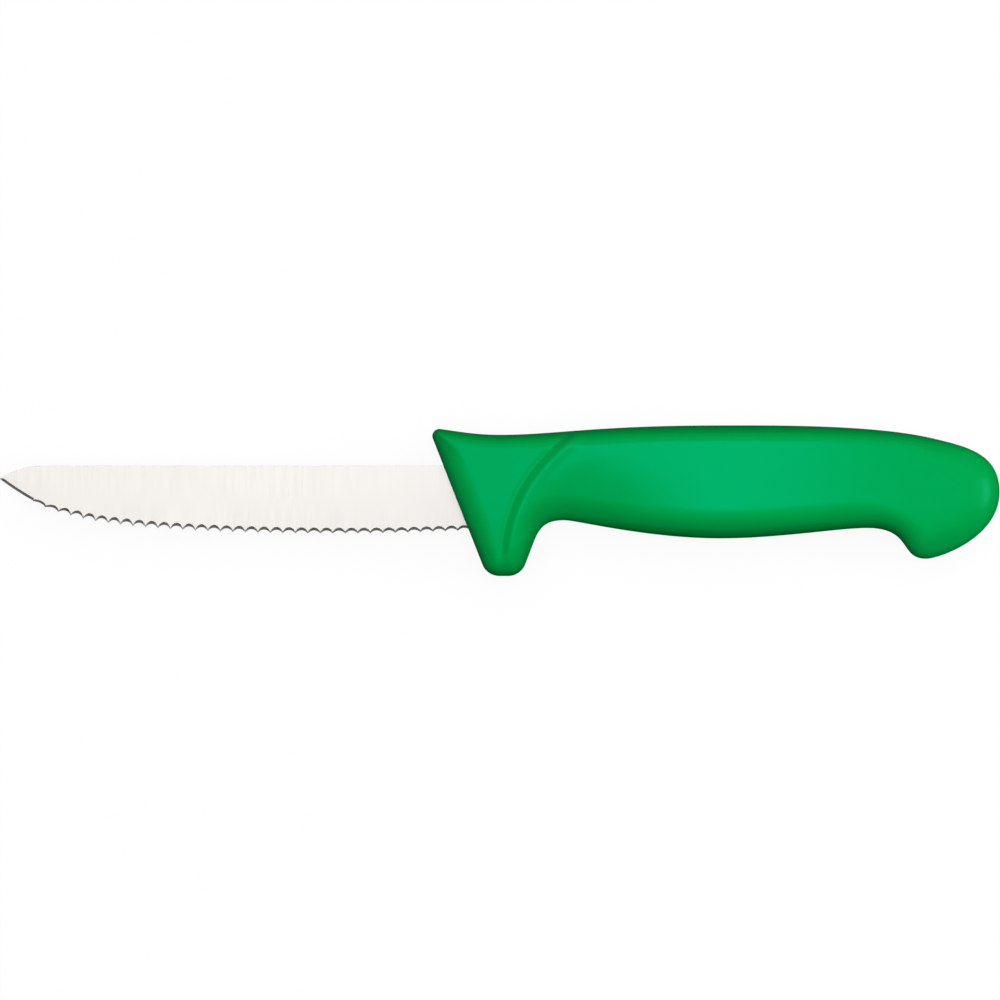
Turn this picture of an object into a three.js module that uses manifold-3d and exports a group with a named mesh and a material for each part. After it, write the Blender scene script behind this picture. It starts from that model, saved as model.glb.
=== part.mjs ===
// A small vegetable knife lying on its side: a finely serrated steel blade in a two-shot moulded handle.
// Millimetres. The blade points along -X, its edge faces -Y, and +Z is up from the table under the grip.
// The pieces are drawn from the blade's axis: X is 0 where the axis meets the guard's front, and Z is 0 in the
// blade's middle plane. Lengths run along the axis, heights are above it and depths below it.
import * as THREE from "three";
import { LoftGeometry } from "three/addons/geometries/LoftGeometry.js";
import { RoundedBoxGeometry } from "three/addons/geometries/RoundedBoxGeometry.js";
import { mergeVertices } from "three/addons/utils/BufferGeometryUtils.js";
import Module from "manifold-3d";

// Blade
const bladeLength = 100;
const spineHeight = 7.25;
const edgeDepth = 7.7;
const deepestEdgeFromGuard = 29;
const edgeBendFromTip = 18.5;
const edgeBendDepth = 4.65;
const tipHeight = 4.45;
const spineFallLength = 9;
const heelInsideGuard = 8;
const heelDepth = 5.85;
const sheetThickness = 1.2;
const edgeThickness = 0.45;
const tipThickness = 0.5;

// Teeth, ground by a round wheel from the upper side
const toothPitch = 2.735;
const toothDepth = 0.9;
const toothTipRelief = 0.15;
const grindAngle = 25;
const plainTipLength = 9.9;

// Tang, the blade's plain end inside the handle
const tangWidth = 8;
const tangBelowSpine = 0.65;
const tangShortOfButt = 52.8;
const tangEndRound = 3;
const tangHoleDiameter = 5;
const tangHoleInset = 10;

// Guard, at the front of the handle
const guardFrontLean = 21.5;
const guardTopHeight = 15.82;
const guardTopRound = 1.57;
const guardDepth = 16.85;
const guardTipWidth = 7.4;
const guardTipRound = 4;
const guardRearLean = 21;
const guardRearHeight = 7.65;
const guardFrontThickness = 12.4;
const guardRearThickness = 15;

// Handle outline behind the guard, as a chain of the places where it turns
const saddleFromGuard = 9.5;
const saddleHeight = 14.17;
const crownHeight = 16.3;
const notchFromGuard = 23.7;
const notchDepth = 4.62;
const bellyFromNotch = 33.9;
const bellyDepth = 8.53;
const neckFromBelly = 32.2;
const neckDepth = 6.27;
const hookFromNeck = 12.9;
const hookDepth = 13;
const buttFromHook = 16.1;
const buttHeight = 1.5;
const shoulderFromButt = 15.2;
const shoulderHeight = 13.5;

// Handle section
const gripThickness = 17;
const topRound = 5;
const bottomRound = 7;
const sectionSquareness = 2.4;

// Curved line where the second moulding begins
const lineFootFromGuard = 10.2;
const lineHeadFromGuard = 28.5;

// Bar of the first moulding, inside the grip
const barHeight = 11;
const barDepth = 2.2;
const barFrontFromGuard = 6;
const barPastTang = 16;
const barEdgeRound = 2;
const gripWall = 3;
const lockDiameter = 6;

// Gap between pieces that touch
const clearance = 0.3;

// Counts for the faceted curves, and where the handle's sections lie: the least distance between two of them,
// and how far the first and last are from the handle's ends
const stepsPerCurve = 8;
const stepsPerSide = 10;
const stepsPerTurn = 32;
const stepsPerEdgeRound = 2;
const leastSectionGap = 0.5;
const endSectionInset = 0.06;

// How far a cutting shape runs past what it cuts
const overrun = 2;

const steel = new THREE.MeshStandardMaterial({ color: 0xdedcd7, metalness: 1, roughness: 0.32 });
const guardGreen = new THREE.MeshStandardMaterial({ color: 0x02a95c, metalness: 0, roughness: 0.42 });
const gripGreen = new THREE.MeshStandardMaterial({ color: 0x03ad61, metalness: 0, roughness: 0.48 });

const wasm = await Module();
wasm.setup();

function solidFrom(geometry) {
  const bare = new THREE.BufferGeometry();
  bare.setAttribute("position", geometry.getAttribute("position"));
  bare.setIndex(geometry.getIndex());
  const merged = mergeVertices(bare);
  const vertProperties = merged.getAttribute("position").array;
  const triVerts = new Uint32Array(merged.getIndex().array);
  return new wasm.Manifold(new wasm.Mesh({ numProp: 3, vertProperties, triVerts }));
}

function pieceFrom(name, solid, material) {
  const { vertProperties, triVerts } = solid.getMesh();
  const geometry = new THREE.BufferGeometry();
  geometry.setAttribute("position", new THREE.BufferAttribute(vertProperties, 3));
  geometry.setIndex(new THREE.BufferAttribute(triVerts, 1));
  geometry.computeVertexNormals();
  const piece = new THREE.Mesh(geometry, material);
  piece.name = name;
  return piece;
}

// Directions in the side view
const ahead = new THREE.Vector2(-1, 0);
const back = new THREE.Vector2(1, 0);
const up = new THREE.Vector2(0, 1);
const down = new THREE.Vector2(0, -1);
const at = (x, y) => new THREE.Vector2(x, y);
const towards = (x, y) => new THREE.Vector2(x, y).normalize();
const radians = THREE.MathUtils.degToRad;

// Adds a smooth curve that leaves and arrives in given directions. Each pull is a share of the curve's chord.
function curveTo(path, end, leaves, leavePull, arrives, arrivePull) {
  const start = path.currentPoint.clone();
  const chord = start.distanceTo(end);
  const first = start.clone().addScaledVector(leaves, chord * leavePull);
  const second = end.clone().addScaledVector(arrives, -chord * arrivePull);
  path.bezierCurveTo(first.x, first.y, second.x, second.y, end.x, end.y);
}

// Runs towards a corner and round it, as an arc that touches the lines on both sides of it.
function roundCorner(path, corner, arrives, leaves, radius) {
  const turn = Math.atan2(arrives.cross(leaves), arrives.dot(leaves));
  const reach = radius * Math.tan(Math.abs(turn) / 2);
  const touch = corner.clone().addScaledVector(arrives, -reach);
  const inward = at(-arrives.y, arrives.x).multiplyScalar(Math.sign(turn));
  const middle = touch.clone().addScaledVector(inward, radius);
  const startAngle = inward.clone().negate().angle();
  path.absarc(middle.x, middle.y, radius, startAngle, startAngle + turn, turn < 0);
}

function slab(shape, thickness) {
  const settings = { depth: thickness, bevelEnabled: false, curveSegments: stepsPerCurve };
  return solidFrom(new THREE.ExtrudeGeometry(shape, settings).translate(0, 0, -thickness / 2));
}

function postAcross(x, y, diameter, length) {
  const post = new THREE.CylinderGeometry(diameter / 2, diameter / 2, length, stepsPerTurn);
  return solidFrom(post.rotateX(Math.PI / 2).translate(x, y, 0));
}

// Places along the handle
const bellyX = notchFromGuard + bellyFromNotch;
const neckX = bellyX + neckFromBelly;
const hookX = neckX + hookFromNeck;
const buttX = hookX + buttFromHook;
const tangEndX = buttX - tangShortOfButt;
const tangTop = spineHeight - tangBelowSpine;
const tangBottom = tangTop - tangWidth;
const tangMiddle = (tangTop + tangBottom) / 2;
const tangHoleXs = [heelInsideGuard + tangHoleInset, tangEndX - tangHoleInset];

// Handle outline, clockwise from the guard's tip: up the guard's front, over the saddle and the crown to the
// butt, and back under the hook, the neck, the belly and the finger notch.
function handleOutline() {
  const guardFront = up.clone().rotateAround(at(0, 0), radians(guardFrontLean));
  const guardRear = down.clone().rotateAround(at(0, 0), -radians(guardRearLean));
  const fallToSaddle = towards(1, -0.14);
  const fallToButt = towards(1, -0.23);
  const topCorner = guardFront.clone().multiplyScalar(guardTopHeight / guardFront.y);
  const frontTip = guardFront.clone().multiplyScalar(-guardDepth / guardFront.y);
  const rearTip = frontTip.clone().addScaledVector(back, guardTipWidth);
  const rearTop = rearTip.clone().addScaledVector(guardRear, guardRearHeight / guardRear.y);
  const outline = new THREE.Shape();
  outline.moveTo((frontTip.x + rearTip.x) / 2, -guardDepth);
  roundCorner(outline, frontTip, ahead, guardFront, guardTipRound);
  roundCorner(outline, topCorner, guardFront, fallToSaddle, guardTopRound);
  curveTo(outline, at(saddleFromGuard, saddleHeight), fallToSaddle, 0.36, back, 0.39);
  curveTo(outline, at(bellyX, crownHeight), back, 0.25, back, 0.57);
  curveTo(outline, at(buttX - shoulderFromButt, shoulderHeight), back, 0.21, fallToButt, 0.29);
  curveTo(outline, at(buttX, buttHeight), fallToButt, 0.43, down, 0.44);
  curveTo(outline, at(hookX, -hookDepth), down, 0.46, ahead, 0.13);
  curveTo(outline, at(neckX, -neckDepth), ahead, 0.41, ahead, 0.69);
  curveTo(outline, at(bellyX, -bellyDepth), ahead, 0.19, ahead, 0.4);
  curveTo(outline, at(notchFromGuard, -notchDepth), ahead, 0.46, ahead, 0.07);
  curveTo(outline, rearTop, ahead, 0.43, guardRear, 0.49);
  roundCorner(outline, rearTip, guardRear, ahead, guardTipRound);
  outline.closePath();
  return outline.getPoints(stepsPerCurve);
}

const outline = handleOutline();
const outlineEdges = outline.map((point, index) => [point, outline[(index + 1) % outline.length]]);

// Lowest and highest point of the outline at one place along the handle
function chordAt(x) {
  const crossed = outlineEdges.filter(([a, b]) => a.x !== b.x && (a.x - x) * (b.x - x) <= 0);
  const heights = crossed.map(([a, b]) => THREE.MathUtils.mapLinear(x, a.x, b.x, a.y, b.y));
  return [Math.min(...heights), Math.max(...heights)];
}

// Distance from a point inside the outline to the nearest part of the outline
function depthInside(x, y) {
  const point = new THREE.Vector3(x, y, 0);
  const nearest = new THREE.Vector3();
  const distances = outlineEdges.map(([a, b]) => {
    const edge = new THREE.Line3(new THREE.Vector3(a.x, a.y, 0), new THREE.Vector3(b.x, b.y, 0));
    return edge.closestPointToPoint(point, true, nearest).distanceTo(point);
  });
  return Math.min(...distances);
}

// Share of the half thickness that the moulding has at a depth inside its outline
function swell(depth, round) {
  const short = Math.max(0, 1 - depth / round);
  return (1 - short ** sectionSquareness) ** (1 / sectionSquareness);
}

// Places along the handle where the moulding has a section
function sectionPlaces() {
  const places = outline.map((point) => point.x).sort((a, b) => a - b);
  const first = places[0] + endSectionInset;
  const last = places[places.length - 1] - endSectionInset;
  const kept = [first];
  for (const x of places) {
    if (x - kept[kept.length - 1] >= leastSectionGap && last - x >= leastSectionGap) kept.push(x);
  }
  return [...kept, last];
}

// A moulding that fills the handle's outline, flat on its sides and rounded towards its edge
function moulding(thicknessAt) {
  const sections = sectionPlaces().map((x) => {
    const [low, high] = chordAt(x);
    const upper = [];
    const lower = [];
    for (let step = 0; step <= stepsPerSide; step += 1) {
      const y = THREE.MathUtils.lerp(high, low, (1 - Math.cos((Math.PI * step) / stepsPerSide)) / 2);
      const nearTop = THREE.MathUtils.smoothstep(y, -notchDepth, spineHeight);
      const round = THREE.MathUtils.lerp(bottomRound, topRound, nearTop);
      const inside = step > 0 && step < stepsPerSide;
      const half = inside ? (thicknessAt(x) / 2) * swell(depthInside(x, y), round) : 0;
      upper.push(new THREE.Vector3(x, y, half));
      if (inside) lower.unshift(new THREE.Vector3(x, y, -half));
    }
    return [...upper, ...lower];
  });
  return solidFrom(new LoftGeometry(sections, { capStart: true, capEnd: true }));
}

// Everything in front of the curved line, with the line moved back by a gap
function frontOfLine(gap) {
  const foot = at(lineFootFromGuard + gap, -guardDepth - overrun - gap);
  const head = at(lineHeadFromGuard + gap, crownHeight + overrun - gap);
  const farAhead = -guardTopHeight;
  const front = new THREE.Shape();
  front.moveTo(farAhead, foot.y);
  front.lineTo(foot.x, foot.y);
  curveTo(front, head, up, 0.66, towards(1, 1), 0.2);
  front.lineTo(farAhead, head.y);
  front.closePath();
  return slab(front, gripThickness + guardRearThickness);
}

// Blade: one stamped sheet with its tang, ground to a taper on both sides, then bevelled and toothed from above
function drawHeelEdge(path, gap) {
  curveTo(path, at(-deepestEdgeFromGuard, -edgeDepth - gap), towards(-1, -0.1), 0.4, ahead, 0.4);
}

function drawEdge(path) {
  const towardsBend = towards(-1, 0.2);
  drawHeelEdge(path, 0);
  curveTo(path, at(edgeBendFromTip - bladeLength, -edgeBendDepth), ahead, 0.27, towardsBend, 0.24);
  curveTo(path, at(-bladeLength, tipHeight), towardsBend, 0.25, towards(-1, 1.1), 0.25);
}

function stampedSheet() {
  const sheet = new THREE.Shape();
  sheet.moveTo(heelInsideGuard, -heelDepth);
  drawEdge(sheet);
  curveTo(sheet, at(spineFallLength - bladeLength, spineHeight), towards(1, 2), 0.3, back, 0.3);
  sheet.lineTo(heelInsideGuard, spineHeight);
  sheet.lineTo(heelInsideGuard, tangTop);
  roundCorner(sheet, at(tangEndX, tangTop), back, down, tangEndRound);
  roundCorner(sheet, at(tangEndX, tangBottom), down, ahead, tangEndRound);
  sheet.lineTo(heelInsideGuard, tangBottom);
  sheet.closePath();
  for (const x of tangHoleXs) {
    sheet.holes.push(new THREE.Path().absarc(x, tangMiddle, tangHoleDiameter / 2, 0, 2 * Math.PI));
  }
  return slab(sheet, sheetThickness);
}

// The ground side is the plane through the spine at the guard, the tip and the deepest tooth.
const groundSide = new THREE.Plane().setFromCoplanarPoints(
  new THREE.Vector3(0, spineHeight, sheetThickness / 2),
  new THREE.Vector3(-bladeLength, tipHeight, tipThickness / 2),
  new THREE.Vector3(-deepestEdgeFromGuard, -edgeDepth, edgeThickness / 2),
);

function halfThicknessAt(x, y) {
  const { normal, constant } = groundSide;
  return -(normal.x * x + normal.y * y + constant) / normal.z;
}

// A block whose flat face lies on the ground side, from past the tip to the heel: side 1 is above, -1 below.
function grindingBlock(side) {
  const { normal } = groundSide;
  const length = bladeLength + heelInsideGuard + overrun;
  const width = 2 * (spineHeight + edgeDepth + overrun);
  const depth = sheetThickness + overrun;
  const tilt = new THREE.Quaternion().setFromUnitVectors(
    new THREE.Vector3(0, 0, 1),
    new THREE.Vector3(side * normal.x, side * normal.y, normal.z),
  );
  const block = new THREE.BoxGeometry(length, width, depth);
  block.translate(heelInsideGuard - length / 2, 0, (side * depth) / 2);
  block.applyQuaternion(tilt).translate(0, 0, side * halfThicknessAt(0, 0));
  return solidFrom(block);
}

const edge = new THREE.Path();
edge.moveTo(heelInsideGuard, -heelDepth);
drawEdge(edge);
const edgeLength = edge.getLength();

// A place on the lower side of the edge, at a distance from the tip, with the directions that grinding needs
function edgeFrame(fromTip) {
  const share = 1 - THREE.MathUtils.clamp(fromTip, 0, edgeLength) / edgeLength;
  const forward = edge.getTangentAt(share);
  const point = edge.getPointAt(share).addScaledVector(forward, Math.max(0, -fromTip));
  return {
    place: new THREE.Vector3(point.x, point.y, -halfThicknessAt(point.x, point.y)),
    along: new THREE.Vector3(forward.x, forward.y, 0),
    inward: new THREE.Vector3(forward.y, -forward.x, 0),
  };
}

// What the bevel takes off the plain edge near the tip
function tipBevel() {
  const steep = Math.tan(radians(grindAngle));
  const sections = [];
  for (let step = 0; step <= stepsPerCurve; step += 1) {
    const fromTip = THREE.MathUtils.lerp(-overrun, plainTipLength + toothPitch / 4, step / stepsPerCurve);
    const { place, inward } = edgeFrame(fromTip);
    const corner = (reach, height) => place.clone().addScaledVector(inward, reach).setZ(place.z + height);
    sections.push([
      corner(-overrun, -overrun * steep),
      corner(2 * overrun, 2 * overrun * steep),
      corner(-overrun, 2 * overrun * steep),
    ]);
  }
  return solidFrom(new LoftGeometry(sections, { capStart: true, capEnd: true }));
}

// What the wheel takes out between two teeth
function toothGap(fromTip) {
  const { place, along, inward } = edgeFrame(fromTip);
  const angle = radians(grindAngle);
  const sag = toothDepth * Math.sin(angle);
  const wheelRadius = (sag ** 2 + (toothPitch / 2) ** 2) / (2 * sag);
  const stroke = inward.clone().multiplyScalar(Math.cos(angle)).setZ(Math.sin(angle));
  const towardsBlade = along.clone().cross(stroke);
  const middle = place.clone().addScaledVector(inward, toothDepth + toothTipRelief);
  middle.addScaledVector(towardsBlade, -wheelRadius);
  const wheel = new THREE.CylinderGeometry(wheelRadius, wheelRadius, 2 * (toothDepth + overrun), stepsPerTurn);
  wheel.applyMatrix4(new THREE.Matrix4().makeBasis(along, stroke, towardsBlade).setPosition(middle));
  return solidFrom(wheel);
}

function makeBlade() {
  let blade = stampedSheet().subtract(grindingBlock(1)).subtract(grindingBlock(-1)).subtract(tipBevel());
  const firstGap = plainTipLength + toothPitch / 2;
  const lastGap = edgeLength - heelInsideGuard / 2;
  for (let fromTip = firstGap; fromTip < lastGap; fromTip += toothPitch) {
    blade = blade.subtract(toothGap(fromTip));
  }
  return pieceFrom("blade", blade, steel);
}

// Core: the guard wedge with the bar behind it, moulded round the tang
const barEndX = tangEndX + barPastTang;
const barThickness = gripThickness - 2 * (gripWall + clearance);
const lockX = tangEndX + barPastTang / 2;
const lockY = (barHeight - barDepth) / 2;

function bar(gap) {
  const length = barEndX - barFrontFromGuard + 2 * gap;
  const height = barHeight + barDepth + 2 * gap;
  const round = barEdgeRound + gap;
  const box = new RoundedBoxGeometry(length, height, barThickness + 2 * gap, stepsPerEdgeRound, round);
  return solidFrom(box.translate((barEndX + barFrontFromGuard) / 2, (barHeight - barDepth) / 2, 0));
}

function tangPocket() {
  const pocket = new THREE.Shape();
  pocket.moveTo(heelInsideGuard + clearance, -heelDepth - clearance);
  drawHeelEdge(pocket, clearance);
  pocket.lineTo(-deepestEdgeFromGuard, spineHeight + clearance);
  pocket.lineTo(heelInsideGuard + clearance, spineHeight + clearance);
  pocket.lineTo(heelInsideGuard + clearance, tangTop + clearance);
  pocket.lineTo(tangEndX + clearance, tangTop + clearance);
  pocket.lineTo(tangEndX + clearance, tangBottom - clearance);
  pocket.lineTo(heelInsideGuard + clearance, tangBottom - clearance);
  pocket.closePath();
  return slab(pocket, sheetThickness + 2 * clearance);
}

function makeCore() {
  const guardLength = lineHeadFromGuard + guardTopHeight;
  const guardThicknessAt = (x) => {
    const share = (x + guardTopHeight) / guardLength;
    return THREE.MathUtils.lerp(guardFrontThickness, guardRearThickness, THREE.MathUtils.clamp(share, 0, 1));
  };
  const guard = moulding(guardThicknessAt).intersect(frontOfLine(0));
  let core = guard.add(bar(0)).subtract(tangPocket());
  for (const x of tangHoleXs) {
    const postLength = sheetThickness + 2 * (clearance + overrun);
    core = core.add(postAcross(x, tangMiddle, tangHoleDiameter - 2 * clearance, postLength));
  }
  core = core.subtract(postAcross(lockX, lockY, lockDiameter + 2 * clearance, gripThickness));
  return pieceFrom("handle_core", core, guardGreen);
}

// Grip: moulded over the bar, and locked to it by a post through the bar's window
function makeGrip() {
  const lock = postAcross(lockX, lockY, lockDiameter, gripThickness - gripWall);
  const shell = moulding(() => gripThickness).subtract(frontOfLine(clearance)).subtract(bar(clearance));
  return pieceFrom("grip", shell.add(lock), gripGreen);
}

// The finished knife lies with its origin under the middle of its box, on the table.
const pieces = new THREE.Group();
pieces.add(makeBlade(), makeCore(), makeGrip());
const box = new THREE.Box3().setFromObject(pieces);
const middle = box.getCenter(new THREE.Vector3());
pieces.position.set(-middle.x, -middle.y, -box.min.z);

const knife = new THREE.Group();
knife.add(pieces);

export default knife;
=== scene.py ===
# %% [markdown]
# A vegetable knife on a studio table
#
# The knife is small and simple: a thin serrated blade in a moulded green handle. It lies on its side, as
# cutlery is photographed, so the camera looks straight down on it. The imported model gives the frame:
# metres, the blade towards -X, the edge towards -Y, and the table at Z = 0. Each piece below is a finer
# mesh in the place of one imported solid.

# %% The frame
import bisect
import math

import bmesh
import bpy
from mathutils import Matrix, Vector
from mathutils.geometry import interpolate_bezier, intersect_point_line
from mathutils.kdtree import KDTree


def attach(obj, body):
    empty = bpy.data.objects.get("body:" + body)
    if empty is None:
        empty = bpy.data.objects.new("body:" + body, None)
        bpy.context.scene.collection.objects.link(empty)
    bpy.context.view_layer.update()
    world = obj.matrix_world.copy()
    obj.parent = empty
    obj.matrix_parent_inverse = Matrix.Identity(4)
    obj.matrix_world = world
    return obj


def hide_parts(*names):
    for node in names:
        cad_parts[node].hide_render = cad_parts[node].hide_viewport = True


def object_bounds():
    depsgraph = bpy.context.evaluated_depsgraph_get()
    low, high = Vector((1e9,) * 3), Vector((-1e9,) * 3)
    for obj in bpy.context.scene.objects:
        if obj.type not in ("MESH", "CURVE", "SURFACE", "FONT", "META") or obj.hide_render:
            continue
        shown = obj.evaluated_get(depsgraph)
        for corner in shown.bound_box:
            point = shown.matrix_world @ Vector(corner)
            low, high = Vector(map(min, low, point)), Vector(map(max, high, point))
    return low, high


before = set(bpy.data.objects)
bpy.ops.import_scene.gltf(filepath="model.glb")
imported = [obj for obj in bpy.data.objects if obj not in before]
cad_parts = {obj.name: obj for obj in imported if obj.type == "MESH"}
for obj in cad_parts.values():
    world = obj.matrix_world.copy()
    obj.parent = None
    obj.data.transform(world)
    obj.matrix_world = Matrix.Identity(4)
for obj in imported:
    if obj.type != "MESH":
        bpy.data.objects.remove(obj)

millimetre = 0.001
packed_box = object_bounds()


def sides_in_mm(box):
    return [round(side / millimetre, 2) for side in box[1] - box[0]]


print("packed nodes:", ", ".join(sorted(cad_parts)))
print("packed box in mm:", sides_in_mm(packed_box))

# %% [markdown]
# The handle's outline
#
# Seen from the side, the handle is one closed line: up the guard's leaning front, over a saddle and a
# long crown to the round butt, back under a hook, a neck, a belly and the finger notch, and round the
# guard's tip. It could be traced point by point, but a few smooth bends between the places where the line
# turns are easier to read and to change. Sizes are in millimetres from the place where the blade's axis
# meets the guard's front.

# %% Sizes of the outline
guard_front_lean = math.radians(21.5)
guard_rear_lean = math.radians(21)
guard_top_height = 15.7
guard_top_round = 1.57
guard_depth = 16.85
guard_tip_width = 7.4
guard_tip_round = 4
guard_rear_height = 7.65


def flat(x, y):
    return Vector((x, y, 0))


saddle = flat(9.5, 14.05)
notch = flat(23.7, -4.65)
belly = flat(notch.x + 33.9, -8.62)
crown = flat(belly.x, 16.1)
neck = flat(belly.x + 32.2, -6.35)
hook = flat(neck.x + 12.9, -13.08)
butt = flat(hook.x + 16.1, 1.5)
shoulder = flat(butt.x - 15.2, 13.4)
print("handle from the guard's front to the butt:", round(butt.x, 1), "mm")

# %% Blends, bends, corners and even spacing
bend_steps = 60
up = flat(0, 1)
down = flat(0, -1)
ahead = flat(-1, 0)
back = flat(1, 0)


def smooth(start, end, value):
    """Runs from 0 at one value to 1 at another, without a kink at either."""
    share = max(0, min(1, (value - start) / (end - start)))
    return share * share * (3 - 2 * share)


def mix(first, second, share):
    return first + (second - first) * share


def bend(start, end, leaves, leave_pull, arrives, arrive_pull):
    """Points of a smooth bend that leaves and arrives in given directions. Pulls are shares of its chord."""
    chord = (end - start).length
    first = start + leaves.normalized() * chord * leave_pull
    second = end - arrives.normalized() * chord * arrive_pull
    return interpolate_bezier(start, first, second, end, bend_steps)


def corner_arc(corner, arrives, leaves, radius):
    """Points of the arc that rounds a corner and touches the lines on both sides of it."""
    half_turn = arrives.angle(leaves) / 2
    reach = radius * math.tan(half_turn)
    middle = corner + (leaves - arrives).normalized() * radius / math.cos(half_turn)
    start = corner - arrives * reach - middle
    end = corner + leaves * reach - middle
    turns = [start.slerp(end, step / bend_steps) for step in range(bend_steps + 1)]
    return [middle + turn * radius for turn in turns]


def even(path, spacing):
    """The same path with its points an even distance apart."""
    reached = [0]
    for before, after in zip(path, path[1:]):
        reached.append(reached[-1] + (after - before).length)
    count = round(reached[-1] / spacing)
    points = []
    index = 0
    for step in range(count + 1):
        wanted = reached[-1] * step / count
        while index < len(path) - 2 and reached[index + 1] < wanted:
            index += 1
        gap = reached[index + 1] - reached[index]
        share = (wanted - reached[index]) / gap if gap else 0
        points.append(path[index].lerp(path[index + 1], share))
    return points


def along(path, share):
    """The point that lies a share of the way along an evenly spaced path."""
    place = share * (len(path) - 1)
    index = min(int(place), len(path) - 2)
    return path[index].lerp(path[index + 1], place - index)


print("a blend has risen to", round(smooth(0, 1, 0.25), 3), "a quarter of the way along")

# %% The outline itself
outline_spacing = 0.1
guard_front = flat(-math.sin(guard_front_lean), math.cos(guard_front_lean))
guard_rear = flat(-math.sin(guard_rear_lean), -math.cos(guard_rear_lean))
fall_to_saddle = flat(1, -0.14).normalized()
fall_to_butt = flat(1, -0.23).normalized()
top_corner = guard_front * (guard_top_height / guard_front.y)
front_tip = guard_front * (-guard_depth / guard_front.y)
rear_tip = front_tip + back * guard_tip_width
rear_top = rear_tip + guard_rear * (guard_rear_height / guard_rear.y)

tip_front_arc = corner_arc(front_tip, ahead, guard_front, guard_tip_round)
top_arc = corner_arc(top_corner, guard_front, fall_to_saddle, guard_top_round)
tip_rear_arc = corner_arc(rear_tip, guard_rear, ahead, guard_tip_round)
tip_middle = (tip_front_arc[0] + tip_rear_arc[-1]) / 2

outline = [tip_middle] + tip_front_arc + top_arc
outline += bend(top_arc[-1], saddle, fall_to_saddle, 0.36, back, 0.39)
outline += bend(saddle, crown, back, 0.25, back, 0.57)
outline += bend(crown, shoulder, back, 0.21, fall_to_butt, 0.29)
outline += bend(shoulder, butt, fall_to_butt, 0.43, down, 0.44)
outline += bend(butt, hook, down, 0.46, ahead, 0.13)
outline += bend(hook, neck, ahead, 0.41, ahead, 0.69)
outline += bend(neck, belly, ahead, 0.19, ahead, 0.4)
outline += bend(belly, notch, ahead, 0.46, ahead, 0.07)
outline += bend(notch, rear_top, ahead, 0.43, guard_rear, 0.49)
outline += tip_rear_arc + [tip_middle]
outline = even(outline, outline_spacing)
print("outline:", len(outline), "points,", round(len(outline) * outline_spacing), "mm round")

# %% [markdown]
# The curved line between the two mouldings
#
# Behind the guard a second shot of plastic begins along a curved line and stands a little higher, with a
# soft edge. The line cuts the handle's side into two panels with four edges each, so each panel can be a
# plain grid that is stretched between its edges. That keeps the rows of faces in step with the handle's
# edge, where the light turns, and it puts a row exactly on the line. A vertical slicing of the handle
# would do neither.

# %% The line
# It is drawn past the outline at both ends and then cut off where it meets it.
foot_overrun = 2
head_overrun = 2.2
line_foot = flat(9.4, -guard_depth - foot_overrun)
line_head = flat(27.6, crown.y + head_overrun)
line_leans = flat(1, 1.6)
line = even(bend(line_foot, line_head, up, 0.63, line_leans, 0.23), outline_spacing)


def nearest(path, point):
    return min(range(len(path)), key=lambda index: (path[index] - point).length_squared)


def meeting(path):
    """The outline's point that a path comes nearest to, and the path's index there."""
    gaps = [(outline[nearest(outline, point)] - point).length for point in path]
    index = gaps.index(min(gaps))
    return outline[nearest(outline, path[index])], index


half_way = len(line) // 2
seam_foot, foot_index = meeting(line[:half_way])
seam_head, head_index = meeting(line[half_way:])
seam = even([seam_foot] + line[foot_index + 1:half_way + head_index] + [seam_head], outline_spacing)
print("line from", [round(c, 2) for c in seam_foot.xy], "to", [round(c, 2) for c in seam_head.xy])

# %% The panels' corners
butt_corner_inset = 5.5
butt_corner_high = flat(butt.x - butt_corner_inset, 9.8)
butt_corner_low = flat(butt.x - butt_corner_inset, -7.3)
guard_corner_high = top_arc[bend_steps // 2]
guard_corner_low = tip_front_arc[bend_steps // 2]


def stretch(start, end):
    """The part of the outline from one point to another, the way it runs: up the front and over the top."""
    first = nearest(outline, start)
    last = nearest(outline, end)
    if first <= last:
        return outline[first:last + 1]
    return outline[first:] + outline[1:last + 1]


print("points round the butt:", len(stretch(butt_corner_high, butt_corner_low)))

# %% A grid stretched between four edges
crowding = 0.65


def closer_at_ends(share):
    """Spreads even steps so that they crowd towards both ends."""
    return mix(share, (1 - math.cos(math.pi * share)) / 2, crowding)


def grid_place(vert, columns, rows):
    """Column and row of a vertex in a fresh grid, which reaches from -1 to 1 both ways."""
    return round((vert.co.x + 1) / 2 * columns), round((vert.co.y + 1) / 2 * rows)


def panel(left, right, bottom, top, columns, rows):
    """A grid between four paths. Left and right run upwards, bottom and top run to the right."""
    mesh = bmesh.new()
    bmesh.ops.create_grid(mesh, x_segments=columns, y_segments=rows, size=1)
    across = [closer_at_ends(step / columns) for step in range(columns + 1)]
    upward = [closer_at_ends(step / rows) for step in range(rows + 1)]
    lows = [along(bottom, share) for share in across]
    highs = [along(top, share) for share in across]
    lefts = [along(left, share) for share in upward]
    rights = [along(right, share) for share in upward]
    for vert in mesh.verts:
        column, row = grid_place(vert, columns, rows)
        u = across[column]
        v = upward[row]
        between_edges = lows[column].lerp(highs[column], v) + lefts[row].lerp(rights[row], u)
        between_corners = lows[0].lerp(lows[-1], u).lerp(highs[0].lerp(highs[-1], u), v)
        vert.co = between_edges - between_corners
    return mesh


print("the first of ten even steps shrinks to", round(closer_at_ends(0.1), 3), "of the way")

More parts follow.
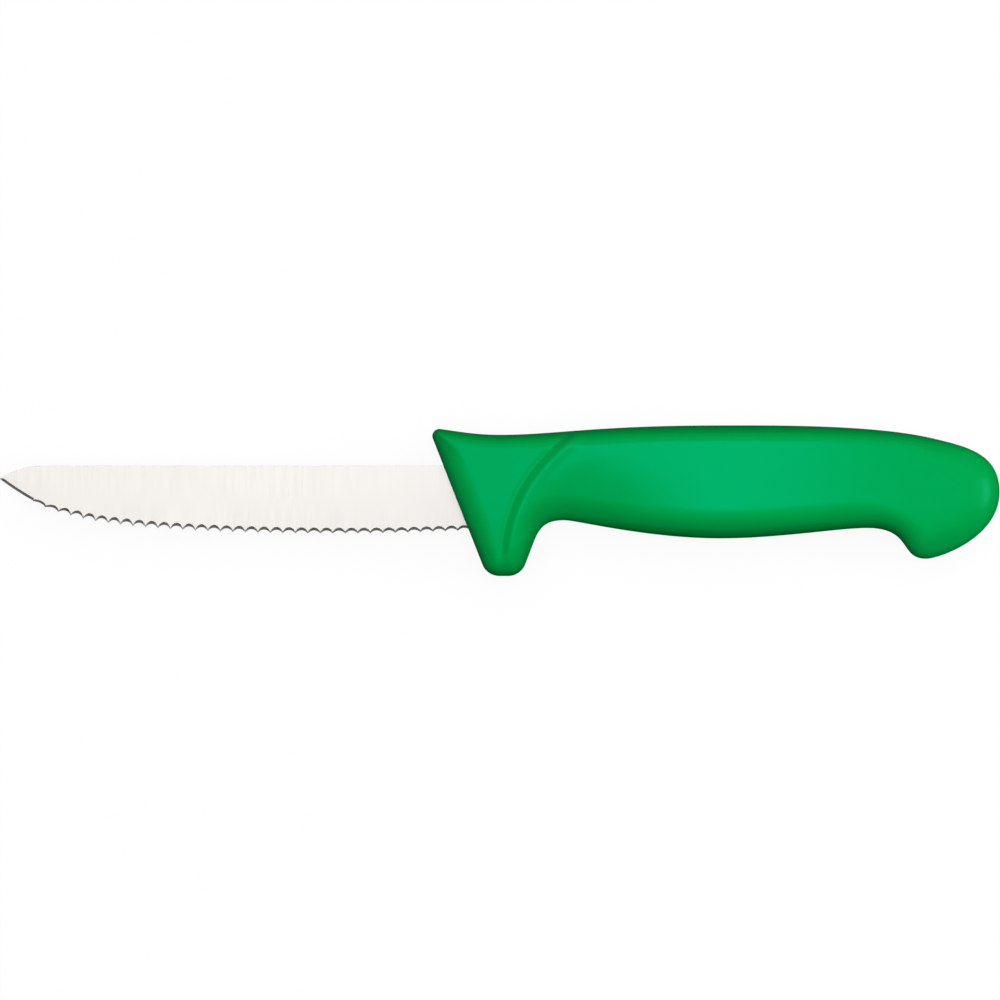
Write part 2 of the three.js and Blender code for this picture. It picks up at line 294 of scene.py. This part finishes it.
# %% [markdown]
# How thick the handle is
#
# The sides of the handle are nearly flat and round off towards its edge, so the height of a point follows
# from how deep it lies inside the outline. The rounding is a superellipse: it leaves the parting plane
# square to it and runs out flat. Its radius is wider along the belly and round the butt than along the
# back. The guard is a wedge that gets thicker towards the grip, and the grip is a slight barrel that
# tapers to the butt. Two shallow dishes relieve the side for the fingers, one above the notch and one
# above the hook. A wider rounding would do for them too, but it would leave a crease where it met the one
# from the top edge.

# %% Depth inside the outline
def distance_to(path):
    """A function that gives a point's distance to a path."""
    tree = KDTree(len(path))
    for index, point in enumerate(path):
        tree.insert(point, index)
    tree.balance()

    def distance(point):
        index = tree.find(point)[1]
        gaps = []
        for start in (index - 1, index):
            if 0 <= start < len(path) - 1:
                share = intersect_point_line(point, path[start], path[start + 1])[1]
                foot = path[start].lerp(path[start + 1], max(0, min(1, share)))
                gaps.append((point - foot).length)
        return min(gaps)

    return distance


corner_softness = 5
corner_reach = 14
touching = 0.0001
front_gap = distance_to(stretch(tip_middle, guard_corner_high))
other_gap = distance_to(stretch(guard_corner_high, tip_middle))


def edge_depth(point):
    """Distance to the outline, softened near the guard's upper corner, where two edges come equally near."""
    near = front_gap(point)
    far = other_gap(point)
    plain = min(near, far)
    if plain < touching:
        return 0
    softened = (near ** -corner_softness + far ** -corner_softness) ** (-1 / corner_softness)
    at_corner = 1 - smooth(corner_reach / 2, corner_reach, (point - guard_corner_high).length)
    return mix(plain, softened, at_corner)


print("depth in the middle of the grip:", round(edge_depth((belly + crown) / 2), 2), "mm")

# %% Rounding towards the edge
# A zone says where one radius begins to give way to another, and where it has done so.
squareness = 2.3
front_round = 5.2
tip_front_round = 4.6
tip_round = 4.4
guard_crest_round = 3.2
crown_round = 3.8
belly_round = 6.6
hook_round = 5.5
butt_round = 9.5
guard_zone = (rear_top.x, notch.x)
crest_zone = (saddle.x, notch.x)
notch_zone = (saddle.x - 2, notch.x - 4)
hook_zone = (neck.x - 4, hook.x)
butt_zone = (butt.x - 22, butt.x - 3)
tip_zone = (-4, -10)
back_zone = (-3, saddle.y - 6)
front_zone = (0.35, 0.65)


def rounding(share):
    """Superellipse from 0 at the edge to 1 where the side is flat."""
    return (1 - (1 - min(share, 1)) ** squareness) ** (1 / squareness)


def behind_guard(point):
    """0 on the guard and 1 behind the finger notch."""
    return smooth(*guard_zone, point.x)


def round_at(point):
    """Radius of the rounding near a point of the side."""
    above = mix(guard_crest_round, crown_round, smooth(*crest_zone, point.x))
    below = mix(belly_round, hook_round, smooth(*hook_zone, point.x))
    ahead_of_notch = 1 - smooth(*notch_zone, point.x)
    below = mix(below, front_round, ahead_of_notch)
    low_on_guard = smooth(*tip_zone, point.y) * (1 - behind_guard(point))
    below = mix(below, tip_round, low_on_guard)
    radius = mix(below, above, smooth(*back_zone, point.y))
    away_from_front = front_gap(point) / (front_gap(point) + other_gap(point) + touching)
    front = mix(front_round, tip_front_round, low_on_guard)
    radius = mix(front, radius, smooth(*front_zone, away_from_front))
    return mix(radius, butt_round, smooth(*butt_zone, point.x))


print("rounding at the belly and the crown:", round(round_at(belly), 1), round(round_at(crown), 1), "mm")

# %% Thickness of the guard
guard_front_half = 5.9
guard_rear_half = 6.9
guard_tip_drop = 1.1
wedge_zone = (-15.7, line_head.x)


def tip_taper(point):
    """How much thinner each side of the guard gets towards its tip."""
    return guard_tip_drop * (1 - behind_guard(point)) * (max(0, -point.y) / guard_depth) ** 2


def guard_half(point):
    """Half of the guard's thickness: a wedge that gets thicker towards the grip."""
    return mix(guard_front_half, guard_rear_half, smooth(*wedge_zone, point.x)) - tip_taper(point)


print("guard at the blade:", round(2 * guard_half(flat(0, 0)), 1), "mm thick")

# %% Thickness of the grip
grip_half = 8.5
barrel_slope = 0.042
barrel_bend = 10
butt_drop = 4.6
butt_power = 2.6
finger_dish_depth = 2.45
finger_dish_reach = 16.7
finger_dish_length = 15.5
finger_dish_middle = notch.x + 1.5
clear_of_line = (2, 10)
hook_dish_depth = 2.2
hook_dish_reach = 12.5
hook_dish_length = 12
seam_gap = distance_to(seam)
lower_gap = distance_to(stretch(butt_corner_low, rear_top))


def dish(off_middle, length, height, reach):
    """A shallow dish that opens downwards: 1 at its lower edge, running out sideways and upwards."""
    return math.exp(-(off_middle / length) ** 2) * max(0, 1 - height / reach) ** 2


def grip_half_at(point):
    """Half of the grip's thickness: a slight barrel, a longer taper to the butt, and the dishes."""
    from_middle = point.x - belly.x
    if from_middle < 0:
        drop = barrel_slope * (math.hypot(from_middle, barrel_bend) - barrel_bend)
    else:
        drop = butt_drop * (from_middle / (butt.x - belly.x)) ** butt_power
    finger_dish = dish(point.x - finger_dish_middle, finger_dish_length, lower_gap(point), finger_dish_reach)
    hook_dish = dish(point.x - hook.x, hook_dish_length, point.y - hook.y, hook_dish_reach)
    drop += finger_dish_depth * finger_dish * smooth(*clear_of_line, seam_gap(point))
    return grip_half - drop - hook_dish_depth * hook_dish - tip_taper(point)


print("grip at the crown:", round(2 * grip_half_at(crown), 1), "mm thick")

# %% [markdown]
# From the knife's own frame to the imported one
#
# Every mesh is drawn in millimetres round the blade's axis, because those are the sizes one would
# measure. The finished object could be scaled and moved instead, but its texture coordinates would then
# stay in millimetres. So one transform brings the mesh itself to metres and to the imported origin, under
# the middle of the knife's box.

# %% Placing a finished mesh
blade_length = 100
box_half = (packed_box[1] - packed_box[0]) / (2 * millimetre)
box_middle = Vector((box_half[0] - blade_length, box_half[1] - guard_depth, -box_half[2]))
to_frame = Matrix.Scale(millimetre, 4) @ Matrix.Translation(-box_middle)
sharp_angle = math.radians(18)
merge_gap = 0.0002


def finish_piece(name, mesh, node, material):
    """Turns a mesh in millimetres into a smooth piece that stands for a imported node."""
    bmesh.ops.remove_doubles(mesh, verts=mesh.verts, dist=merge_gap)
    bmesh.ops.dissolve_degenerate(mesh, edges=mesh.edges, dist=merge_gap)
    bmesh.ops.recalc_face_normals(mesh, faces=mesh.faces)
    # On a thin sheet that can turn all faces inwards, and the sign of the volume shows it.
    if mesh.calc_volume(signed=True) < 0:
        bmesh.ops.reverse_faces(mesh, faces=mesh.faces)
    open_edges = sum(1 for edge in mesh.edges if len(edge.link_faces) != 2)
    bmesh.ops.transform(mesh, matrix=to_frame, verts=mesh.verts)
    data = bpy.data.meshes.new(name)
    mesh.to_mesh(data)
    mesh.free()
    data.shade_smooth()
    data.set_sharp_from_angle(angle=sharp_angle)
    data.materials.append(material)
    piece = bpy.data.objects.new(name, data)
    bpy.context.scene.collection.objects.link(piece)
    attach(piece, "root")
    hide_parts(node)
    print(name, "has", len(data.polygons), "faces and", open_edges, "open edges")


print("the blade's axis meets the guard at", [round(c, 4) for c in to_frame.translation], "in metres")

# %% Closing a panel
on_line = 0.001


def mirror_side(mesh):
    """Mirrors the upper side to the lower one and joins them along the outline."""
    everything = mesh.verts[:] + mesh.edges[:] + mesh.faces[:]
    bmesh.ops.mirror(mesh, geom=everything, axis="Z", merge_dist=merge_gap)
    bmesh.ops.remove_doubles(mesh, verts=mesh.verts, dist=merge_gap)


def at_seam(vert):
    return seam_gap(flat(vert.co.x, vert.co.y)) < on_line


def wall_along_seam(mesh):
    """Joins the two sides where they end on the curved line."""
    rim = [edge for edge in mesh.edges if edge.is_boundary and all(at_seam(vert) for vert in edge.verts)]
    upper = [edge for edge in rim if edge.verts[0].co.z + edge.verts[1].co.z > 0]
    made = bmesh.ops.extrude_edge_only(mesh, edges=upper)
    new_verts = [item for item in made["geom"] if isinstance(item, bmesh.types.BMVert)]
    bmesh.ops.scale(mesh, vec=(1, 1, -1), verts=new_verts)
    bmesh.ops.remove_doubles(mesh, verts=mesh.verts, dist=merge_gap)


print("vertices closer than", merge_gap, "mm are merged")

# %% [markdown]
# Finishes
#
# Three materials. The blade is martensitic stainless sheet, ground across its width: a bright metal with
# fine parallel scratches that break up its reflection. The handle is polypropylene, coloured right
# through. It comes out of a spark-eroded mould, so its gloss is low and even. A picture of each surface
# could be wrapped round its piece, but node patterns on object coordinates need no unwrapping and keep
# their real size.

# %% Colours and nodes
# Nearly all values of a noise pattern lie between these two.
noise_low = 0.3
noise_high = 0.7


def colour(code):
    """Linear colour of an sRGB hex code."""
    channels = [int(code[start:start + 2], 16) / 255 for start in (1, 3, 5)]
    linear = [c / 12.92 if c <= 0.04045 else ((c + 0.055) / 1.055) ** 2.4 for c in channels]
    return (*linear, 1)


def add_node(tree, kind, sockets=None, **settings):
    """Adds a node. Settings are its own properties, and sockets take a constant or another node's output."""
    made = tree.nodes.new(kind)
    for name, value in settings.items():
        setattr(made, name, value)
    for name, value in (sockets or {}).items():
        if isinstance(value, bpy.types.NodeSocket):
            tree.links.new(value, made.inputs[name])
        else:
            made.inputs[name].default_value = value
    return made


def new_material(name):
    """An empty node material, its tree and its output node."""
    material = bpy.data.materials.new(name)
    material.use_nodes = True
    tree = material.node_tree
    tree.nodes.clear()
    return material, tree, tree.nodes.new("ShaderNodeOutputMaterial")


def pattern_size(*sizes):
    """Texture scale for features of a size in millimetres along X, Y and Z."""
    return tuple(1 / (size * millimetre) for size in sizes)


print("a pattern 1 mm wide has a texture scale of", round(pattern_size(1)[0]))

# %% Cross-ground stainless steel
# The belt leaves scratches about 0.05 mm apart across the blade. They are drawn 0.25 mm apart, so that
# they show. They give the eye a faint grain under a soft, even gleam. The wheel leaves the bevels
# smoother than the faces, so they mirror the dim, low part of the studio and look dark.
scratch_gap = 0.25
scratch_length = 9
scratch_depth = 0.02
scratch_strength = 0.035
belt_smooth = 0.52
belt_rough = 0.55
bevel_rough = 0.42
bevel_upright = 0.9
face_upright = 0.97
steel_cloud_size = 25
steel_tones = ("#C2C0BE", "#C7C4C0")


def ground_steel():
    material, tree, output = new_material("stainless_steel_cross_ground")
    coordinates = add_node(tree, "ShaderNodeTexCoord").outputs
    place = coordinates["Object"]
    across = add_node(
        tree, "ShaderNodeMapping",
        {"Vector": place, "Scale": pattern_size(scratch_gap, scratch_length, scratch_length)},
    )
    scratch = add_node(
        tree, "ShaderNodeTexNoise",
        {"Vector": across.outputs["Vector"], "Scale": 1, "Detail": 3},
    )
    belt = add_node(
        tree, "ShaderNodeMapRange",
        {
            "Value": scratch.outputs["Fac"], "From Min": noise_low, "From Max": noise_high,
            "To Min": belt_smooth, "To Max": belt_rough,
        },
    )
    lies = add_node(tree, "ShaderNodeSeparateXYZ", {"Vector": coordinates["Normal"]})
    upright = add_node(tree, "ShaderNodeMath", {0: lies.outputs["Z"]}, operation="ABSOLUTE")
    on_face = add_node(
        tree, "ShaderNodeMapRange",
        {"Value": upright.outputs[0], "From Min": bevel_upright, "From Max": face_upright},
    )
    gloss = add_node(
        tree, "ShaderNodeMix",
        {"Factor": on_face.outputs["Result"], "A": bevel_rough, "B": belt.outputs["Result"]},
    )
    cloud = add_node(
        tree, "ShaderNodeTexNoise",
        {"Vector": place, "Scale": pattern_size(steel_cloud_size)[0], "Detail": 2},
    )
    tone = add_node(
        tree, "ShaderNodeMix",
        {"Factor": cloud.outputs["Fac"], "A": colour(steel_tones[0]), "B": colour(steel_tones[1])},
        data_type="RGBA",
    )
    bump = add_node(
        tree, "ShaderNodeBump",
        {
            "Height": scratch.outputs["Fac"], "Strength": scratch_strength,
            "Distance": scratch_depth * millimetre,
        },
    )
    steel = add_node(
        tree, "ShaderNodeBsdfPrincipled",
        {
            "Base Color": tone.outputs["Result"],
            "Metallic": 1,
            "Roughness": gloss.outputs["Result"],
            "Normal": bump.outputs["Normal"],
        },
    )
    tree.links.new(steel.outputs["BSDF"], output.inputs["Surface"])
    return material


blade_steel = ground_steel()
print("made", blade_steel.name)

# %% Satin polypropylene
# The mould's spark texture is about 0.1 mm coarse. It is drawn 0.5 mm coarse, so that it shows. It gives
# the eye a soft sheen instead of a mirror, and the green varies a little. The sheen leans towards the
# plastic's own green, as it looks in the photograph. It runs out where the surface turns away, so that
# the white table leaves no pale rim there.
spark_size = 0.5
spark_strength = 0.25
plastic_cloud_size = 5
gloss_change = 0.012
plastic_ior = 1.49
side_shine = 0.2
sheen_tint = "#10FFE8"
turn_start = 0.2
turn_end = 0.36


def satin_plastic(name, codes, roughness, texture_depth):
    material, tree, output = new_material(name)
    place = add_node(tree, "ShaderNodeTexCoord").outputs["Object"]
    grain = add_node(
        tree, "ShaderNodeTexNoise",
        {"Vector": place, "Scale": pattern_size(spark_size)[0], "Detail": 2, "Roughness": 0.6},
    )
    cloud = add_node(
        tree, "ShaderNodeTexNoise",
        {"Vector": place, "Scale": pattern_size(plastic_cloud_size)[0], "Detail": 2},
    )
    gloss = add_node(
        tree, "ShaderNodeMapRange",
        {
            "Value": cloud.outputs["Fac"], "From Min": noise_low, "From Max": noise_high,
            "To Min": roughness - gloss_change, "To Max": roughness + gloss_change,
        },
    )
    bump = add_node(
        tree, "ShaderNodeBump",
        {
            "Height": grain.outputs["Fac"], "Strength": spark_strength,
            "Distance": texture_depth * millimetre,
        },
    )
    facing = add_node(tree, "ShaderNodeLayerWeight", {"Blend": 0.5}).outputs["Facing"]
    shine = add_node(
        tree, "ShaderNodeMapRange",
        {"Value": facing, "From Min": turn_start, "From Max": turn_end, "To Min": side_shine, "To Max": 0},
    )
    tone = add_node(
        tree, "ShaderNodeMix",
        {"Factor": cloud.outputs["Fac"], "A": colour(codes[0]), "B": colour(codes[1])},
        data_type="RGBA",
    )
    plastic = add_node(
        tree, "ShaderNodeBsdfPrincipled",
        {
            "Base Color": tone.outputs["Result"],
            "Roughness": gloss.outputs["Result"],
            "IOR": plastic_ior,
            "Specular IOR Level": shine.outputs["Result"],
            "Specular Tint": colour(sheen_tint),
            "Normal": bump.outputs["Normal"],
        },
    )
    # An exported model holds no linked level, so the socket also keeps the level of the flat sides.
    plastic.inputs["Specular IOR Level"].default_value = side_shine
    tree.links.new(plastic.outputs["BSDF"], output.inputs["Surface"])
    return material


guard_plastic = satin_plastic(
    "polypropylene_satin_guard", ("#009D46", "#00A148"), roughness=0.36, texture_depth=0.012,
)
grip_plastic = satin_plastic(
    "polypropylene_satin_grip", ("#009D45", "#00A249"), roughness=0.3, texture_depth=0.02,
)
print("made", guard_plastic.name, "and", grip_plastic.name)

# %% [markdown]
# The guard
#
# The guard is the front of the first moulding. The blade comes out of a slit in its rounded front. The
# panel is stretched between the front, the top, the curved line and the tip, lifted to its thickness and
# mirrored. A boolean could cut the slit, but the panel's front edge already runs along it. So the edge is
# lifted by half the slit's width there, which leaves the mouth open in the mirrored mesh, and extruding
# the mouth's rim inwards makes the pocket that the blade stands in.

# %% Guard panel
guard_columns = 110
side_rows = 96
guard_mesh = panel(
    stretch(guard_corner_low, guard_corner_high),
    seam,
    list(reversed(stretch(seam_foot, guard_corner_low))),
    stretch(guard_corner_high, seam_head),
    guard_columns, side_rows,
)
groove = 0.15
groove_width = 1.3
spine_height = 7.25
heel_depth = 6.4
slit_half = 0.63
slit_end = 0.5


def slit_at(y):
    """Half width of the slit's mouth at a height."""
    low = smooth(-heel_depth - slit_end, -heel_depth, y)
    high = 1 - smooth(spine_height, spine_height + slit_end, y)
    return slit_half * low * high


for vert in guard_mesh.verts:
    swell = rounding(edge_depth(vert.co) / round_at(vert.co))
    parting = groove * (1 - smooth(0, groove_width, seam_gap(vert.co)))
    mouth = slit_at(vert.co.y)
    vert.co.z = mouth + (guard_half(vert.co) - parting - mouth) * swell
print("guard panel:", len(guard_mesh.faces), "faces")

# %% Guard solid
slit_length = 9
mirror_side(guard_mesh)
wall_along_seam(guard_mesh)
mouth_edges = [edge for edge in guard_mesh.edges if edge.is_boundary]
print("edges round the slit's mouth:", len(mouth_edges))
pocket = bmesh.ops.extrude_edge_only(guard_mesh, edges=mouth_edges)
pocket_verts = [item for item in pocket["geom"] if isinstance(item, bmesh.types.BMVert)]
bmesh.ops.translate(guard_mesh, vec=(slit_length, 0, 0), verts=pocket_verts)
bmesh.ops.holes_fill(guard_mesh, edges=[edge for edge in guard_mesh.edges if edge.is_boundary])
finish_piece("guard_moulding", guard_mesh, "handle_core", guard_plastic)

# %% [markdown]
# The grip
#
# The second moulding is the long panel behind the line. Along the line its edge rises in a soft quarter
# round to the full thickness, so the light draws a dark line at the foot and a bright one on the crest.
# Guard and grip could be one mesh with a crease, but as two closed meshes they stay two mouldings, as on
# the real knife.

# %% Grip panel
grip_columns = 360
grip_mesh = panel(
    seam,
    list(reversed(stretch(butt_corner_high, butt_corner_low))),
    list(reversed(stretch(butt_corner_low, seam_foot))),
    stretch(seam_head, butt_corner_high),
    grip_columns, side_rows,
)
step_width = 1.85
crest_height = 0.2
crest_width = 1.4
fade_zone = (-guard_depth + 1, -guard_depth + 6.5)


def step_fade(point):
    """The step along the line runs out towards the guard's tip. Behind the notch it is always full."""
    return mix(smooth(*fade_zone, point.y), 1, behind_guard(point))


for vert in grip_mesh.verts:
    swell = rounding(edge_depth(vert.co) / round_at(vert.co))
    behind = seam_gap(vert.co)
    rise = math.sin(math.pi / 2 * min(1, behind / step_width))
    crest = rise * crest_height * math.exp(-((behind - step_width) / crest_width) ** 2)
    raised = mix(guard_half(vert.co) - groove, grip_half_at(vert.co) + crest, rise * step_fade(vert.co))
    vert.co.z = raised * swell
print("grip panel:", len(grip_mesh.faces), "faces")

# %% Grip solid
mirror_side(grip_mesh)
wall_along_seam(grip_mesh)
finish_piece("grip_moulding", grip_mesh, "grip", grip_plastic)

# %% [markdown]
# The blade
#
# A stamped sheet, ground thinner towards the edge and the tip. A small round wheel then cuts the teeth
# from the upper side only. Each cut leaves a hollow bevel, and the points between the cuts are the teeth.
# Cutting each tooth with a boolean would work, but the cut's shape is known, so a grid can follow it: its
# columns run from the edge to the spine, its first rows lie in the bevel, and the rest go over the face,
# round the spine and back.

# %% Outline of the blade
deepest = flat(-29, -7.7)
edge_bend = flat(18.5 - blade_length, -4.55)
blade_tip = flat(-blade_length, 4.45)
spine_front = flat(9 - blade_length, spine_height)
heel_length = 8
heel_low = flat(heel_length, -6.75)
heel_high = flat(heel_length, spine_height)
towards_bend = flat(-1, 0.22)
path_spacing = 0.05

edge_path = bend(heel_low, deepest, flat(-1, -0.04), 0.4, ahead, 0.4)
edge_path += bend(deepest, edge_bend, ahead, 0.27, towards_bend, 0.24)
edge_path += bend(edge_bend, blade_tip, towards_bend, 0.46, flat(-1, 0.76), 0.33)
edge_path = even(list(reversed(edge_path)), path_spacing)
spine_path = bend(blade_tip, spine_front, flat(1, 0.75), 0.3, back, 0.3) + [heel_high]
spine_path = even(spine_path, path_spacing)
edge_length = (len(edge_path) - 1) * path_spacing
print("edge:", round(edge_length, 1), "mm long")

# %% Thickness of the blade
sheet_half = 0.6
tip_half = 0.25
edge_half = 0.19
grind_swell = 1.8


def spine_half(point):
    """Half of the blade's thickness at the spine, which is ground thinner towards the tip."""
    return mix(tip_half, sheet_half, min(1, (point.x + blade_length) / blade_length))


def face_half(point, foot, spine):
    """Half of the ground sheet's thickness at a point between the uncut edge and the spine."""
    across = spine - foot
    rise = max(0, min(1, (point - foot).dot(across) / max(across.length_squared, touching)))
    return mix(edge_half, spine_half(spine), rise * mix(grind_swell, 1, rise))


print("spine at the guard:", round(2 * spine_half(flat(0, spine_height)), 2), "mm thick")

# %% Teeth
tooth_pitch = 2.736
tooth_depth = 0.9
tooth_relief = 0.15
plain_tip = 7.26
plain_cut = 0.2
tip_fade = 10
tip_cut = 0.4
heel_fade = 75
heel_cut = 0.65
point_bevel = 0.75
grind_angle = math.radians(33)
sag = tooth_depth * math.sin(grind_angle)
wheel_radius = (sag ** 2 + (tooth_pitch / 2) ** 2) / (2 * sag)
first_tooth = plain_tip - blade_length
teeth = int((heel_length - first_tooth) / tooth_pitch)


def cut_depth(x):
    """How far the wheel has moved the edge inwards at a place along the blade."""
    if x < first_tooth:
        return plain_cut * smooth(-blade_length, first_tooth, x)
    across = (x - first_tooth) % tooth_pitch - tooth_pitch / 2
    wheel_sag = wheel_radius - math.sqrt(wheel_radius ** 2 - across ** 2)
    full = tooth_depth + tooth_relief - wheel_sag / math.sin(grind_angle)
    near_tip = smooth(first_tooth, first_tooth + tip_fade, x)
    return full * mix(tip_cut, 1, near_tip) * mix(1, heel_cut, smooth(-heel_fade, 0, x))


def bevel_share(x):
    """Share of the sheet's thickness that the wheel takes: all of it in a cut, less at the points."""
    if x < first_tooth:
        return 1
    return mix(point_bevel, 1, cut_depth(x) / (tooth_depth + tooth_relief))


print(teeth, "teeth, cut by a wheel of", round(wheel_radius, 2), "mm radius")

# %% One column of the blade's grid
tip_columns = 50
columns_per_tooth = 14
bevel_rows = 4
face_rows = 10
spine_chamfer = 0.02


def column_x(column):
    """Place of a column's foot along the blade."""
    if column <= tip_columns:
        return mix(-blade_length, first_tooth, column / tip_columns)
    return first_tooth + tooth_pitch * (column - tip_columns) / columns_per_tooth


def share_at(path, x):
    """The share of a path that runs along the blade at which it reaches a place."""
    index = max(1, bisect.bisect_left(path, x, key=lambda point: point.x))
    before, after = path[index - 1], path[index]
    return (index - 1 + (x - before.x) / (after.x - before.x)) / (len(path) - 1)


def column_places(column):
    """Points of one column, from the edge over the upper face to the spine and back under the lower face."""
    x = column_x(column)
    share = share_at(edge_path, x)
    foot = along(edge_path, share)
    spine = along(spine_path, share)
    step = path_spacing / edge_length
    forward = along(edge_path, max(0, share - step)) - along(edge_path, min(1, share + step))
    forward.normalize()
    inward = flat(forward.y, -forward.x)
    start = foot + inward * cut_depth(x)
    room = max(0, (spine - start).dot(inward))
    thin = face_half(start, foot, spine)
    bevel = min(bevel_share(x) * 2 * thin / math.tan(grind_angle), room)
    bevel_end = start + inward * bevel
    bevel_top = face_half(bevel_end, foot, spine)
    half = spine_half(spine)
    inset = spine.lerp(bevel_end, min(1, spine_chamfer / max((bevel_end - spine).length, spine_chamfer)))
    upper = []
    lower = []
    for row in range(bevel_rows + 1):
        part = row / bevel_rows
        upper.append((start.lerp(bevel_end, part), bevel_top - bevel * math.tan(grind_angle) * (1 - part)))
    for row in range(1, face_rows + 1):
        point = bevel_end.lerp(inset, row / face_rows)
        upper.append((point, face_half(point, foot, spine)))
        lower.append((point, -face_half(point, foot, spine)))
    back_edge = [(spine, half - spine_chamfer), (spine, spine_chamfer - half)]
    lower = [(start, -thin), (bevel_end, -bevel_top)] + lower
    places = upper + back_edge + lower[::-1] + upper[:1]
    return [Vector((point.x, point.y, height)) for point, height in places]


print("points in a column:", len(column_places(0)))

# %% Blade solid
blade_columns = tip_columns + teeth * columns_per_tooth
columns = [column_places(column) for column in range(blade_columns + 1)]
blade_rows = len(columns[0]) - 1
blade_mesh = bmesh.new()
bmesh.ops.create_grid(blade_mesh, x_segments=blade_columns, y_segments=blade_rows, size=1)
for vert in blade_mesh.verts:
    column, row = grid_place(vert, blade_columns, blade_rows)
    vert.co = columns[column][row]
print("blade grid:", blade_columns, "columns of", blade_rows, "faces")
bmesh.ops.remove_doubles(blade_mesh, verts=blade_mesh.verts, dist=merge_gap)
bmesh.ops.holes_fill(blade_mesh, edges=[edge for edge in blade_mesh.edges if edge.is_boundary])
finish_piece("serrated_blade", blade_mesh, "blade", blade_steel)

# %% [markdown]
# Table, light and camera
#
# The knife lies on a wide white table under a bright ceiling that dims towards the walls, so the lower
# edges and the teeth stay dark. One soft box hangs high above beside the camera and gives the flat sides
# their sheen. A small strip light near the butt draws the highlight on its end. A picture of a real
# studio could give the light too, but a plain dome and two lamps are easier to set one by one. The camera
# hangs straight above on a long lens, so that it sees the side almost without perspective, as in the
# photograph.

# %% Table
# Its paint is white to the camera and to mirrors. For the camera most of it glows, so that the shadow on
# it is faint. The light that it throws back is dim, so that the lower edges stay dark.
table_size = 30
white = colour("#FFFFFF")
bounce_grey = colour("#505050")
glow_share = 0.9
table_mesh = bmesh.new()
bmesh.ops.create_grid(table_mesh, x_segments=1, y_segments=1, size=table_size / 2)
table_data = bpy.data.meshes.new("table")
table_mesh.to_mesh(table_data)
table_mesh.free()
table = bpy.data.objects.new("table", table_data)
bpy.context.scene.collection.objects.link(table)


def table_paint():
    """White paint that mostly glows for the camera and throws little light back."""
    material, tree, output = new_material("table_paint_white")
    rays = add_node(tree, "ShaderNodeLightPath").outputs
    mirrored = add_node(
        tree, "ShaderNodeMath",
        {0: rays["Is Glossy Ray"], 1: rays["Is Transmission Ray"]},
        operation="MAXIMUM",
    )
    seen = add_node(
        tree, "ShaderNodeMath",
        {0: rays["Is Camera Ray"], 1: mirrored.outputs[0]},
        operation="MAXIMUM",
    )
    shade = add_node(
        tree, "ShaderNodeMix",
        {"Factor": seen.outputs[0], "A": bounce_grey, "B": white},
        data_type="RGBA",
    )
    paint = add_node(tree, "ShaderNodeBsdfDiffuse", {"Color": shade.outputs["Result"]})
    glow = add_node(tree, "ShaderNodeEmission", {"Color": white, "Strength": 1})
    share = add_node(
        tree, "ShaderNodeMath",
        {0: rays["Is Camera Ray"], 1: glow_share},
        operation="MULTIPLY",
    )
    both = add_node(
        tree, "ShaderNodeMixShader",
        {0: share.outputs[0], 1: paint.outputs["BSDF"], 2: glow.outputs["Emission"]},
    )
    tree.links.new(both.outputs["Shader"], output.inputs["Surface"])
    return material


table_data.materials.append(table_paint())
print("table", table_size, "m wide")

# %% Light from above
# A lean is the cosine of the angle between a direction and the brightest one.
bright_side = Vector((0.04, 0.27, 1)).normalized()
wall_lean = 0.45
ceiling_lean = 0.92
wall_light = 0.02
ceiling_light = 1.29
world = bpy.data.worlds.new("studio")
world.use_nodes = True
bpy.context.scene.world = world
sky = world.node_tree
sky.nodes.clear()
direction = add_node(sky, "ShaderNodeTexCoord").outputs["Generated"]
lean = add_node(sky, "ShaderNodeVectorMath", {0: direction, 1: bright_side}, operation="DOT_PRODUCT")
brightness = add_node(
    sky, "ShaderNodeMapRange",
    {
        "Value": lean.outputs["Value"], "From Min": wall_lean, "From Max": ceiling_lean,
        "To Min": wall_light, "To Max": ceiling_light,
    },
    interpolation_type="SMOOTHSTEP",
)
studio = add_node(sky, "ShaderNodeBackground", {"Color": white, "Strength": brightness.outputs["Result"]})
add_node(sky, "ShaderNodeOutputWorld", {"Surface": studio.outputs["Background"]})
print("the light above leans towards", [round(c, 2) for c in bright_side])

# %% Soft boxes
grip_middle = Vector((0.052, 0, 0))


def soft_box(name, place, width, height, power):
    """A soft light that looks at the grip. Its width lies level."""
    lamp = bpy.data.lights.new(name, "AREA")
    lamp.shape = "RECTANGLE"
    lamp.size = width
    lamp.size_y = height
    lamp.energy = power
    box = bpy.data.objects.new(name, lamp)
    box.location = place
    towards_grip = grip_middle - box.location
    box.rotation_euler = towards_grip.to_track_quat("-Z", "Y").to_euler()
    box.visible_camera = False
    bpy.context.scene.collection.objects.link(box)
    print(name, "is", round(towards_grip.length, 2), "m from the grip")


soft_box("upper_soft_box", (0.05, 0.1, 2), width=0.4, height=0.4, power=10.3)
soft_box("right_strip_box", (0.42, 0, 0.2), width=0.16, height=0.06, power=0.4)

# %% Camera
camera_height = 2
above_blade = camera_height - grip_half * millimetre
photo_width = 218.8
photo_middle = flat(9.5, -0.22)
camera_data = bpy.data.cameras.new("camera")
camera_data.lens = camera_data.sensor_width * above_blade / (photo_width * millimetre)
camera_data.clip_end = 100
camera = bpy.data.objects.new("camera", camera_data)
camera.location = to_frame @ photo_middle
camera.location.z = camera_height
bpy.context.scene.collection.objects.link(camera)
bpy.context.scene.camera = camera
bpy.context.scene.view_settings.view_transform = "Standard"
print("lens", round(camera_data.lens), "mm")
